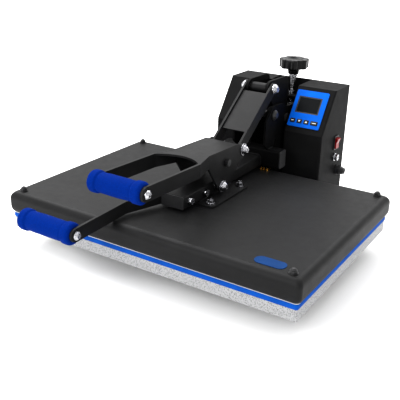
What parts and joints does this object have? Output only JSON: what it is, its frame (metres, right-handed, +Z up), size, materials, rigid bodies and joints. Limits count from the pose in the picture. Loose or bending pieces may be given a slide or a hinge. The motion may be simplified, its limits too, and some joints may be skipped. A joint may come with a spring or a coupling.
{
  "type": "heat press",
  "caption": "Clamshell heat press with wide flat platens, toggle lever, foam-gripped handles, pressure knob and rear control housing, shown closed.",
  "frame": {"origin": "on the bench under the middle of the press's overall footprint, at the underside of the rubber feet", "axes": "+X to the operator's right, +Y from the operator to the rear tower, +Z up"},
  "size_m": [0.62, 0.7324, 0.3208],
  "materials": {
    "cover_paint": "fine textured powder coat",
    "frame_paint": "satin powder coat",
    "inner_paint": "matt powder coat",
    "housing_paint": "fine textured powder coat",
    "chrome": "polished",
    "black_steel": "black oxide",
    "cast_aluminium": "speckled as-cast",
    "platen_aluminium": "machined",
    "silicone": "matt",
    "grip_foam": "matt foam",
    "foot_rubber": "matt",
    "black_plastic": "moulded",
    "knob_plastic": "moulded",
    "panel_blue": "printed film",
    "badge_blue": "enamel",
    "display": "clear lens over a dark display",
    "button_plastic": "moulded",
    "key_red": "translucent",
    "steel": "turned",
    "brass": "plain",
    "board": "solder mask",
    "blanket": "ceramic fibre felt"
  },
  "bodies": {
    "base": {"base_rails": "frame_paint", "base_crossmembers": "frame_paint", "tower_base_plate": "frame_paint", "rubber_feet": "foot_rubber", "lower_platen": "cast_aluminium", "silicone_pad": "silicone", "platen_bolts": "steel", "tower_plates": "inner_paint", "tower_back_plate": "inner_paint", "screw_bridge": "inner_paint", "hinge_shaft": "black_steel", "rocker_pin": "black_steel", "left_housing": "housing_paint", "control_housing": "housing_paint", "rear_panel": "housing_paint", "housing_screws": "black_steel", "panel_bezel": "panel_blue", "display_window": "display", "controller_board": "board", "solid_state_relay": "black_plastic", "terminal_block": "black_plastic", "switch_body": "black_plastic", "fuse_holder": "chrome", "cable_gland": "black_plastic"},
    "knob": {"pressure_knob": "knob_plastic", "pressure_screw": "chrome", "thrust_collars": "chrome"},
    "rocker": {"pressure_rocker": "inner_paint", "trunnion_nut": "steel", "top_pivot_bolt": "chrome"},
    "arm": {"platen_cover": "cover_paint", "heating_platen": "platen_aluminium", "heating_element": "steel", "insulation_blanket": "blanket", "cover_screws": "black_steel", "badge_plate": "badge_blue", "heater_terminals": "brass", "arm_beam": "frame_paint", "tube_end_caps": "black_plastic", "mounting_plate": "frame_paint", "mounting_bolts": "chrome", "rear_crosstube": "inner_paint", "hinge_ears": "inner_paint", "lever_pivot_bolt": "chrome", "front_handle_bar": "frame_paint", "handle_bar_bolts": "chrome", "front_grip": "grip_foam", "front_grip_rod": "chrome"},
    "lever": {"lever_side_plates": "frame_paint", "lever_web": "frame_paint", "lever_grip": "grip_foam", "lever_grip_rod": "chrome", "link_bolts": "chrome", "stop_bolt": "black_steel"},
    "link": {"link_channel": "frame_paint"},
    "mode_button": {"button_mode": "button_plastic"},
    "down_button": {"button_down": "button_plastic"},
    "up_button": {"button_up": "button_plastic"},
    "ok_button": {"button_ok": "button_plastic"},
    "power_key": {"rocker_key": "key_red"}
  },
  "joints": [
    {"name": "arm_hinge", "type": "hinge", "parent": "base", "child": "arm", "pos_m": [0, 0.16525, 0.2308], "axis": [-1, 0, 0], "range_deg": [0, 42]},
    {"name": "lever_hinge", "type": "hinge", "parent": "arm", "child": "lever", "pos_m": [0, -0.03775, 0.1353], "axis": [-1, 0, 0], "range_deg": [0, 35.46]},
    {"name": "pressure_knob_turn", "type": "hinge", "parent": "base", "child": "knob", "pos_m": [0, 0.33225, 0.3028], "axis": [0, 0, 1], "range_deg": [0, 540]},
    {"name": "rocker_tilt", "type": "hinge", "parent": "base", "child": "rocker", "pos_m": [0, 0.23725, 0.2088], "axis": [-1, 0, 0], "range_deg": [0, 1.81]},
    {"name": "link_hinge", "type": "hinge", "parent": "rocker", "child": "link", "pos_m": [0, 0.17125, 0.2838], "axis": [-1, 0, 0], "range_deg": [0, 16.98]},
    {"name": "power_key_rock", "type": "hinge", "parent": "base", "child": "power_key", "pos_m": [0.128, 0.29925, 0.1528], "axis": [0, -1, 0], "range_deg": [0, 16]},
    {"name": "mode_press", "type": "slide", "parent": "base", "child": "mode_button", "axis": [0, 0.8219, -0.5697], "range_m": [0, 0.0012], "stiffness_N_per_m": 400},
    {"name": "down_press", "type": "slide", "parent": "base", "child": "down_button", "axis": [0, 0.8219, -0.5697], "range_m": [0, 0.0012], "stiffness_N_per_m": 400},
    {"name": "up_press", "type": "slide", "parent": "base", "child": "up_button", "axis": [0, 0.8219, -0.5697], "range_m": [0, 0.0012], "stiffness_N_per_m": 400},
    {"name": "ok_press", "type": "slide", "parent": "base", "child": "ok_button", "axis": [0, 0.8219, -0.5697], "range_m": [0, 0.0012], "stiffness_N_per_m": 400}
  ],
  "couplings": [
    {"joint": "lever_hinge", "follows": "arm_hinge", "ratio": 0.84424},
    {"joint": "link_hinge", "follows": "arm_hinge", "ratio": 0.40425},
    {"joint": "rocker_tilt", "follows": "pressure_knob_turn", "ratio": 0.0033515}
  ]
}
